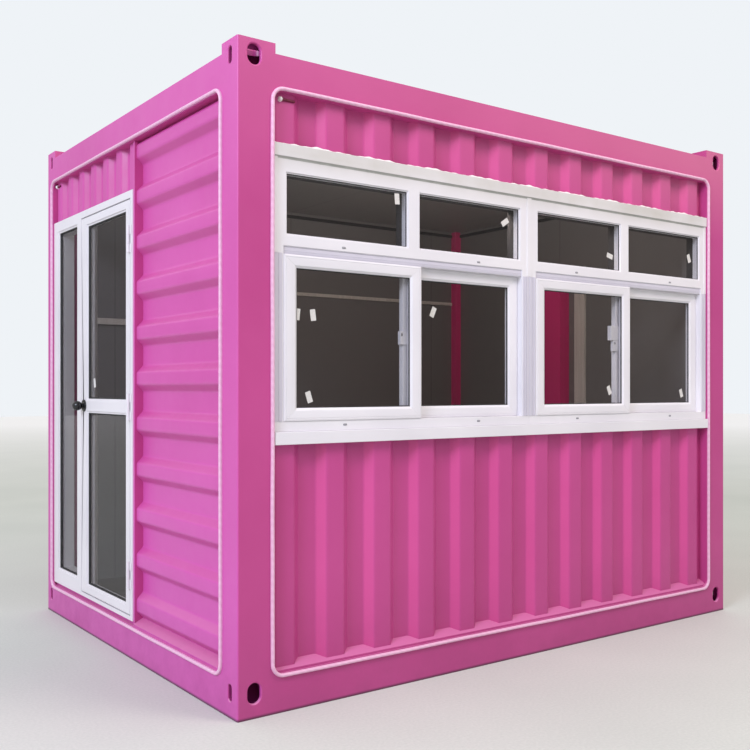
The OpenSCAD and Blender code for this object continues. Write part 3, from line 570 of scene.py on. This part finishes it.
def powder_coat(name, dark, light, rain_marks=0.0):
    """Powder coat: an even tone with a slow drift, satin, with the fine pebble of the melted powder. Over the
    windows it may carry a film of warm grey dust, washed thinner in places."""
    made, tree, shader = new_finish(name)
    place = add(tree, "TexCoord").outputs["Object"]
    drift = add(tree, "TexNoise", {"Vector": place, "Scale": 1 / 0.4, "Detail": 3.0})
    tone = two_tones(add(tree, "ValToRGB", {"Fac": drift.outputs["Fac"]}), 0.3, dark, 0.7, light)
    wash = add(tree, "TexNoise", {"Vector": place, "Scale": 1 / 0.22, "Detail": 4.0})
    high_up = add(tree, "MapRange", {
        "Value": add(tree, "SeparateXYZ", {"Vector": place}).outputs["Z"],
        "From Min": 2.10, "From Max": 2.19, "To Min": 0.0, "To Max": 2 * rain_marks})
    film = add(tree, "Math", {0: high_up.outputs[0], 1: wash.outputs["Fac"]}, operation="MULTIPLY")
    worn = add(tree, "Mix", {"Factor": film.outputs[0], "A": tone, "B": linear("#B9B5AB")}, data_type="RGBA")
    tree.links.new(worn.outputs["Result"], shader.inputs["Base Color"])
    shader.inputs["Roughness"].default_value = 0.38
    peel = add(tree, "TexNoise", {"Vector": place, "Scale": 1 / 0.003, "Detail": 1.0})
    pebble = add(tree, "Bump", {"Height": peel.outputs["Fac"], "Strength": 0.08, "Distance": 0.0004})
    tree.links.new(pebble.outputs["Normal"], shader.inputs["Normal"])
    return made


white_coat = powder_coat("white_powder_coat", "#DEDBE1", "#E6E3E8", 0.5)
# Painted shade: a lavender grey copy of the white coat for the recessed track strips.
recess_shade_coat = powder_coat("lavender_shade_powder_coat", "#C6C2CF", "#CECAD7")
# Painted shade: a slightly darker, warmer copy of the white for the door unit, against the brighter light on
# the door end.
shaded_door_coat = powder_coat("shaded_white_powder_coat", "#DCD8DC", "#E4E0E3")
dress(white_coat, "window_frame_left", "window_frame_right", "window_trim")
dress(shaded_door_coat, "door_frame", "door_leaf", "jamb_hinges", "leaf_hinges")
for name in ("window_frame_left", "window_frame_right", "window_trim", "door_frame", "door_leaf"):
    join = solids[name].modifiers.new("join", "WELD")
    join.merge_threshold = weld_within
    ease = solids[name].modifiers.new("ease", "BEVEL")
    ease.width = 0.0022
    ease.segments = 2
    ease.limit_method = "ANGLE"
    ease.angle_limit = math.radians(40)
    ease.harden_normals = True


def bar_along(u0, u1, section):
    """A section of (inward, up) points run along the front between two places."""
    r, z = np.asarray(section, float).T
    return on_wall("front", np.stack([np.stack([np.full(len(r), u), r, z], -1) for u in (u0, u1)]))


def bar_up(z0, z1, section):
    """A section of (along, inward) points run up the front between two heights."""
    u, r = np.asarray(section, float).T
    return on_wall("front", np.stack([np.stack([u, r, np.full(len(u), z)], -1) for z in (z0, z1)]))


# Beside the upper lights a cover strip closes the joint between the two frames,
# and a flat one lies on each end jamb where the frame meets the posts.
frame_front, strip_front, strip_ease = 8.2, 5.4, 1.2
track_top, frame_top = 1794, 2168


def strip_section(middle, half, groove=()):
    """A strip's (along, inward) section about its middle: eased front edges and any groove between them."""
    flat, shoulder = half - strip_ease, strip_front + strip_ease
    return [
        (middle - half, frame_front), (middle - half, shoulder), (middle - flat, strip_front),
        *((middle + along, inward) for along, inward in groove),
        (middle + flat, strip_front), (middle + half, shoulder), (middle + half, frame_front)]


strips = [bar_up(track_top, frame_top, strip_section(*spot)) for spot in ((1555, 15), (170, 9), (2940, 9))]
skin("window_cover_strips", strips, "house", white_coat)

# Beside the sashes wider strips with a groove down the middle take their
# place, and the head track under each transom is such a strip with a low ridge.
# All are coated lavender grey as painted shade, for the shade in these recesses.
track_low, track_long = 1134, 1301
groove = ((-3, strip_front), (-2, 7.2), (2, 7.2), (3, strip_front))
ridged = [
    (14.1, 1791), (13.4, 1792), (13.4, 1803), (12.6, 1804), (12.6, 1806), (13.4, 1807), (13.4, 1820),
    (14.1, 1821)]
tracks = [bar_along(u, u + track_long, ridged) for u in (207, 1602)]
tracks += [bar_up(track_low, track_top - 2, strip_section(*spot, groove)) for spot in (
    (1524, 10), (1555, 19), (1586, 10), (181, 18), (2929, 18))]
skin("window_track_strips", tracks, "house", recess_shade_coat)

# The sashes: mitred bars with a groove near the outer edge and a sloping bead
# at the glass, crimped at the corners so that a hairline shows in each mitre.
hairline = 0.35
sash_wide, sash_low, sash_high, stile, rail = 690, 1133, 1790, 60, 52
outer_starts, inner_starts, outer_front, inner_front = (206, 1601), (819, 2214), 4, 38


def sash_bar(wide):
    """One sash bar's section, (across from the outer edge, inward from the face), once round."""
    return np.array([
        (0, 3), (0.9, 0.9), (3, 0), (9, 0), (9.7, 1.2), (11.3, 1.2), (12, 0), (wide - 11, 0),
        (wide - 9.4, 0.6), (wide - 8.4, 1.6), (wide - 1.2, 5.2), (wide, 6.6), (wide, 22), (wide - 3, 28),
        (3, 28), (0, 25)])


def mitred(side, u0, u1, z0, z1, r0, upright, level):
    """Four bars round a rectangle, each between two mitre cuts: a cut moves each point of the section along
    the bar by as far as the point lies across it. Uprights and level bars may differ in width."""
    a, b, r = upright[:, 0], level[:, 0], r0 + level[:, 1]
    cut = [(u0 + a, z0 + b), (u1 - a, z0 + b), (u1 - a, z1 - b), (u0 + a, z1 - b)]
    bars = []
    for (ua, za), (ub, zb) in zip(cut, cut[1:] + cut[:1]):
        step = np.array([np.mean(ub - ua), np.mean(zb - za)])
        slip = hairline * np.sign(step) * (abs(step) > 1)
        here = np.stack([ua + slip[0], r, za + slip[1]], -1)
        there = np.stack([ub - slip[0], r, zb - slip[1]], -1)
        bars.append(on_wall(side, np.stack([here, there])))
    return bars


for name, starts, front in (
    ("outer_sashes", outer_starts, outer_front), ("inner_sashes", inner_starts, inner_front),
):
    bars = []
    for u in starts:
        bars += mitred("front", u, u + sash_wide, sash_low, sash_high, front, sash_bar(stile), sash_bar(rail))
    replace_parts(skin(name, bars, "house", white_coat, crease=25), name)

# The panes: 6 mm float glass, clear in the windows and tinted grey in the door
# unit, set against the frames and held by beads.


def float_glass(name, body, share):
    """Float glass: mirror-smooth with the faintest film of dust. It is see-through by its alpha, so light
    reaches what is behind it, and the IOR makes up the lost reflection."""
    made, tree, shader = new_finish(name)
    place = add(tree, "TexCoord").outputs["Object"]
    shader.inputs["Base Color"].default_value = linear(body)
    shader.inputs["Alpha"].default_value = share
    shader.inputs["IOR"].default_value = 2.4
    film = add(tree, "TexNoise", {"Vector": place, "Scale": 1 / 0.25, "Detail": 4.0})
    smear = add(tree, "MapRange", {
        "Value": film.outputs["Fac"], "From Min": 0.5, "From Max": 0.8, "To Min": 0.0, "To Max": 0.03})
    tree.links.new(smear.outputs[0], shader.inputs["Roughness"])
    return made


dress(float_glass("clear_float_glass", "#1C1B1D", 0.13), "sash_glass", "upper_glass")
dress(float_glass("grey_float_glass", "#20242E", 0.24), "side_light_glass", "door_glass")

# The glazing gaskets: black rubber wedges pressed between bead and glass all
# round each pane, a dark line at the edge of the glass.
# Extruded rubber: black, dull, with a trace of bloom.
black_rubber = mottled("black_rubber", 0.03, 3.0, "#121213", "#1E1E20", 0.6, stops=(0.35, 0.75))


def gasket(side, u0, u1, z0, z1, glass_face, wide, deep):
    """A wedge carried round a pane's edge with mitred corners: it stands deep in front of the glass at the
    bead and thins to a round lip on the glass."""
    a = np.array([-0.4, 0.2 * wide, 0.75 * wide, wide, wide, -0.4])
    r = glass_face - np.array([deep, 0.92 * deep, 0.6 * deep, 0.3 * deep, -0.05, -0.05])
    turns = [(u0 + a, z0 + a), (u1 - a, z0 + a), (u1 - a, z1 - a), (u0 + a, z1 - a)]
    return on_wall(side, np.stack([np.stack([u, r, z], -1) for u, z in turns]))


outer_glass, inner_glass, upper_glass, side_glass, leaf_glass = 15, 49, 19, 26, 24
upper_starts, upper_wide, upper_low, upper_high = (224, 893.5, 1619, 2288.5), 597.5, 1871, 2106
pane_low, pane_high = sash_low + rail, sash_high - rail
window_gaskets = [
    gasket("front", u + stile, u + sash_wide - stile, pane_low, pane_high, face, 4.5, 4.5)
    for starts, face in ((outer_starts, outer_glass), (inner_starts, inner_glass)) for u in starts]
window_gaskets += [
    gasket("front", u, u + upper_wide, upper_low, upper_high, upper_glass, 3, 4) for u in upper_starts]
skin("window_gaskets", window_gaskets, "house", black_rubber, loop=True)
side_gasket = [gasket("left", 170, 471, 260, 2129, side_glass, 7, 9)]
skin("side_light_gasket", side_gasket, "house", black_rubber, loop=True)
door_gaskets = [
    gasket("left", 636, 1158, low, high, leaf_glass, 7, 10) for low, high in ((246, 1136), (1210, 2105))]
skin("door_gaskets", door_gaskets, "door", black_rubber, loop=True)

# Behind the upper panes a self-adhesive foam tape lines the frame's inner edge
# all round, dark grey as painted shade in the reveal.
reveal_shade_foam = mottled("reveal_shade_foam_tape", 0.006, 2.0, "#3A3635", "#454140", 0.8)
tape_up, tape_in = np.array([-0.2, 1.2, 1.2, -0.2]), np.array([48.0, 48.0, 87.8, 87.8])
tapes = []
for u in upper_starts:
    near, far = u + tape_up, u + upper_wide - tape_up
    low, high = upper_low + tape_up, upper_high - tape_up
    turns = ((near, low), (far, low), (far, high), (near, high))
    tapes.append(on_wall("front", np.stack([np.stack([across, tape_in, up], -1) for across, up in turns])))
skin("upper_light_foam_tapes", tapes, "house", reveal_shade_foam, loop=True)

# The window's small fittings: moulded weep caps on the transom and the bottom
# track, and a latch that wraps each inner sash's meeting stile, the right one with
# a long handle plate.
# Moulded nylon: pale grey, soft sheen.
grey_nylon = mottled("grey_nylon", 0.008, 2.0, "#8E8D93", "#9C9BA1", 0.5)


def domed(side, middle, up, face, wide, tall, proud, count=20):
    """A low dome on an oval base: the outline shrinks and rises by a quarter wave from face to crown."""
    edge, _ = oval(min(wide, tall), max(wide, tall), count)
    if wide > tall:
        edge = edge[:, ::-1]
    t = np.linspace(0, 1, 5)
    shrink, rise = np.cos(t * 1.45), np.sin(t * math.pi / 2) * proud
    rings = edge[None] * shrink[:, None, None]
    rows = [middle + rings[..., 0], face - rise[:, None] + 0 * rings[..., 0], up + rings[..., 1]]
    return on_wall(side, np.stack(rows, -1))


unit, cap_back = 1395, 8
caps = [
    domed("front", post_wide + unit * i + u, up, cap_back, 20, 9, 2.4)
    for i in (0, 1) for u, up in ((331, 1837), (1072, 1837), (337, 1115), (1072, 1115))]
skin("weep_caps", caps, "house", grey_nylon)

left_sash, right_sash = inner_starts
seat = inner_front - 0.2
latches, slots = [], []
for u, z0, z1, out, face, back in (
    (left_sash, 1452, 1509, 16, 33.5, 52), (right_sash, 1512, 1586, 39, 33, 56),
    (right_sash, 1456, 1511.5, 22, 34, 50),
):
    latches.append(bar_up(z0, z1, [
        (u - out, face + 1.5), (u - out + 1.5, face), (u + 29, face), (u + 31, face + 2), (u + 31, seat),
        (u - 0.3, seat), (u - 0.3, back), (u - out, back)]))
    if out < 30:
        slots.append(domed("front", u - 8, z1 - 15, face + 0.1, 6, 14, 0.9))
skin("sash_latches", latches, "house", white_coat)
skin("sash_latch_slots", slots, "house", black_rubber)

# The paper tags: torn bits of blank white tape that hold the glazing film, stuck
# a little askew on the outside of the panes, each with one corner lifting.
# Paper tape: matt white with a soft fibrous tone.
paper_tape = mottled("paper_tape", 0.004, 4.0, "#C9C6C3", "#DEDBD8", 0.75)


def tag(side, u, up, face, turn, wide=25.0, tall=46.0):
    """A bit of tape on a pane: strips across a turned rectangle that lie on the glass and lift at one end
    by the square of the way along, each strip a flat loop with the paper's thickness."""
    along = np.linspace(-0.5, 0.5, 9)[:, None]
    across = np.array([-0.5, 0.5, 0.5, -0.5])[None, :]
    lift = 0.15 + 3.0 * np.clip(along, 0, None) ** 2 + np.array([0.35, 0.35, 0.0, 0.0])[None, :]
    a, b = wide * across + 0 * along, tall * along + 0 * across
    spin = math.radians(turn)
    level = u + a * math.cos(spin) - b * math.sin(spin)
    upward = up + a * math.sin(spin) + b * math.cos(spin)
    return on_wall(side, np.stack([level, face - lift, upward], -1))


tags = [tag("front", *spot) for spot in (
    (773, 2072, upper_glass, 5), (1407, 2038, upper_glass, -56), (2147, 1942, upper_glass, 76),
    (2810, 1983, upper_glass, 22), (346, 1556, outer_glass, 8), (272, 1556, outer_glass, -6),
    (327, 1228, outer_glass, 18), (2138, 1254, outer_glass, 24), (997, 1601, inner_glass, -24),
    (2782, 1237, inner_glass, 20))]
skin("window_tape_tags", tags, "house", paper_tape)
skin("door_tape_tag", [tag("left", 699, 1291, leaf_glass, 10)], "door", paper_tape)

# The bedding bead: grey silicone run along the joint under the fascia and
# tooled hollow with a finger; its grey is painted shadow under the fascia.
# Cured silicone: smooth grey with a soft shine.
fascia_shadow_silicone = mottled("fascia_shadow_silicone", 0.05, 2.0, "#A5A5A1", "#B4B4B0", 0.35, bump=(0.4, 0.002))
turn = np.linspace(0, math.pi / 2, 6)
hollow = np.stack([1.5 + 6.6 * np.sin(turn) ** 1.5, fascia_foot - 9.0 * (1 - np.cos(turn))], -1)
flat_back = [(8.3, fascia_foot - 9.4), (8.3, fascia_foot + 0.3), (1.5, fascia_foot + 0.3)]
bedding = bar_along(corner, length - corner, np.concatenate([hollow, flat_back]))
skin("fascia_bedding_bead", [bedding], "house", fascia_shadow_silicone, crease=50)

# White sealant closes the top edge of the fascia against the ribs: a rough bead
# whose height wanders by a sum of sines along the wall.
# Fresh silicone: white with a soft shine.
white_silicone = mottled("white_silicone", 0.03, 3.0, "#E6E2E2", "#EFECEC", 0.4, bump=(0.5, 0.002))
fascia_top, stations = 2218.0, 560
run = np.linspace(corner + 1, length - corner - 1, stations)[:, None]
rise = 5.5 + 2.6 * np.sin(run / 47) + 1.9 * np.sin(run / 19 + 1) + 1.5 * np.sin(run / 8.3 + 2)
turn = np.linspace(0, math.pi, 8)[None, :]
bead_in = np.concatenate([13 - 10 * np.cos(turn), [[23.0, 3.0]]], 1) + 0 * run
crown = fascia_top + 1.5 + rise * np.sin(turn)
bead_up = np.concatenate([crown, np.full((stations, 2), fascia_top)], 1)
bead = on_wall("front", np.stack([run + 0 * bead_in, bead_in, bead_up], -1))
skin("fascia_sealant", [bead], "house", white_silicone, crease=60)

# The door furniture: turned zinc knobs with a keyed cylinder outside, on round
# stepped roses, lacquered black.
# Black lacquer: deep gloss with a trace of handling.
black_lacquer, tree, shader = new_finish("black_lacquer")
place = add(tree, "TexCoord").outputs["Object"]
rub = add(tree, "TexNoise", {"Vector": place, "Scale": 1 / 0.02, "Detail": 3.0})
rough = add(tree, "MapRange", {"Value": rub.outputs["Fac"], "To Min": 0.16, "To Max": 0.34})
tree.links.new(rough.outputs[0], shader.inputs["Roughness"])
tone = two_tones(add(tree, "ValToRGB", {"Fac": rub.outputs["Fac"]}), 0.3, "#0F0F11", 0.8, "#1B1B1E")
tree.links.new(tone, shader.inputs["Base Color"])
knob_along, knob_up = 591.5, 1173
leaf_faces = ((6, -1), (48, 1))


def turned(face, way, profile, count=48):
    """A profile of (radius, height off the leaf) points turned round the knob's axis, on either face."""
    radius, out = np.asarray(profile, float).T
    turn = np.linspace(0, 2 * math.pi, count, endpoint=False)[:, None]
    rows = [knob_along + radius * np.cos(turn), face + way * out + 0 * turn, knob_up + radius * np.sin(turn)]
    return on_wall("left", np.swapaxes(np.stack(rows, -1), 0, 1))


ball = np.linspace(0.86 * math.pi, 0.128 * math.pi, 22)
knob = np.concatenate([
    [(12, 1.2), (12, 9), (12.4, 12)],
    np.stack([25 * np.sin(ball), 37 + 25 * np.cos(ball)], -1),
    [(9.2, 60.2), (8.8, 59.2), (8.2, 59.2), (7.9, 60.0), (0.6, 60.2)]])
rose = [
    (32, 0.0), (32, 3.6), (31.2, 4.8), (29.5, 5.3), (27.5, 5.4), (26.6, 6.6), (25, 7), (15, 7), (13.4, 6.4),
    (13.2, 0.0)]
knobs = [turned(face, way, knob) for face, way in leaf_faces]
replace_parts(skin("door_knobs", knobs, "knobs", black_lacquer, crease=40), "door_knobs")
roses = [np.swapaxes(turned(face, way, rose), 0, 1) for face, way in leaf_faces]
piece = skin("door_roses", roses, "door", black_lacquer, loop=True, crease=40)
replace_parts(piece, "door_roses")

# The rope lights: a soft silicone tube with a flat back, clipped round the edge
# of both shown openings with a rounded bend at each corner.
# Milky silicone: pale pink-white, softly glossy, with a faint beat of the lamps
# inside every 33 mm.
milky_silicone, tree, shader = new_finish("milky_silicone")
place = add(tree, "TexCoord").outputs["Object"]
apart = add(tree, "SeparateXYZ", {"Vector": place})
sum_xy = add(tree, "Math", {0: apart.outputs["X"], 1: apart.outputs["Y"]}, operation="ADD")
run_on = add(tree, "Math", {0: sum_xy.outputs[0], 1: apart.outputs["Z"]}, operation="ADD")
beat = add(tree, "Math", {0: run_on.outputs[0], 1: 0.0165}, operation="PINGPONG")
tone = two_tones(add(tree, "ValToRGB", {"Fac": add(tree, "Math", {
    0: beat.outputs[0], 1: 60.0}, operation="MULTIPLY").outputs[0]}), 0.0, "#E6B9D3", 0.9, "#E0AFCB")
tree.links.new(tone, shader.inputs["Base Color"])
shader.inputs["Roughness"].default_value = 0.42
shader.inputs["Subsurface Weight"].default_value = 0.25
shader.inputs["Subsurface Radius"].default_value = (0.004, 0.003, 0.003)
rope_half, rope_foot, rope_bend = 7.5, 4.5, 50


def rope(side, u0, u1, z0, z1, bend):
    """A D section carried round a rectangle with rounded corners. The path is four straights and four quarter
    turns, with a slow wander of under a millimetre; the section is a half round on a flat back."""
    quarter = np.linspace(0, math.pi / 2, 13)
    path, face = [], []
    for k, (cu, cz, fu, fz) in enumerate((
        (u1 - bend, z1 - bend, u0 + bend, z1), (u0 + bend, z1 - bend, u0, z0 + bend),
        (u0 + bend, z0 + bend, u1 - bend, z0), (u1 - bend, z0 + bend, u1, z1 - bend),
    )):
        out = np.stack([np.cos(quarter + k * math.pi / 2), np.sin(quarter + k * math.pi / 2)], -1)
        turn = np.array([cu, cz]) + bend * out
        many = int(np.hypot(fu - turn[-1, 0], fz - turn[-1, 1]) / 70)
        straight = turn[-1] + (np.array([fu, fz]) - turn[-1]) * np.linspace(0, 1, many + 2)[1:-1, None]
        path += [turn, straight]
        face += [out, np.repeat(out[-1:], many, axis=0)]
    path, face = np.concatenate(path), np.concatenate(face)
    travel = np.cumsum(np.hypot(*np.diff(path, axis=0, prepend=path[-1:]).T))
    wander = 0.5 * np.sin(travel / 173) + 0.35 * np.sin(travel / 71 + 1)
    path = path + face * wander[:, None]
    turn = np.linspace(0, math.pi, 15)
    across = np.concatenate([rope_half * np.cos(turn), [0.5 - rope_half, rope_half - 0.5]])
    out = np.concatenate([rope_foot + rope_half * np.sin(turn), [0, 0]])
    ring = path[:, None] + face[:, None] * across[None, :, None]
    rows = [ring[..., 0], np.broadcast_to(-out, ring.shape[:2]), ring[..., 1]]
    return on_wall(side, np.stack(rows, -1))


rope_low, rope_high = rail_top - 10, head_rail + 10
for name, side, near, far in (
    ("rope_light_front", "front", post_wide - 10, bay_end + 10),
    ("rope_light_left", "left", back_post - 10, end_post + 10),
):
    path = rope(side, near, far, rope_low, rope_high, rope_bend)
    piece = skin(name, [path], "house", milky_silicone, loop=True, crease=50)
    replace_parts(piece, name)

# Each rope ends in the upper corner in a moulded white plug on the sheet, with a
# short dark red sleeve beside it over the joint to its lead.
# Shrunk sleeve: dark red, soft sheen, a little wrinkled.
red_sleeve = mottled("dark_red_shrink_sleeve", 0.006, 3.0, "#5E0E2C", "#741538", 0.45, bump=(0.3, 0.001))
ends = (("front", 196, 2395, 66), ("left", 120, 2398, 46))
plugs = [domed(side, u, up, 22.3, 20, 21, 16) for side, u, up, _ in ends]
skin("rope_end_plugs", plugs, "house", white_silicone)
turn = np.linspace(0, math.pi, 9)
sleeves = []
for side, u, up, far in ends:
    wide = np.array([1.0, 1.0, 0.86, 0.8, 0.8])[:, None]
    along = u + np.array([6, 14, 22, 30, far])[:, None] + 0 * turn
    inward = 22.3 - 11 * wide * np.sin(turn)
    sleeves.append(on_wall(side, np.stack([along, inward, up + 7 * wide * np.cos(turn)], -1)))
skin("rope_end_sleeves", sleeves, "house", red_sleeve)
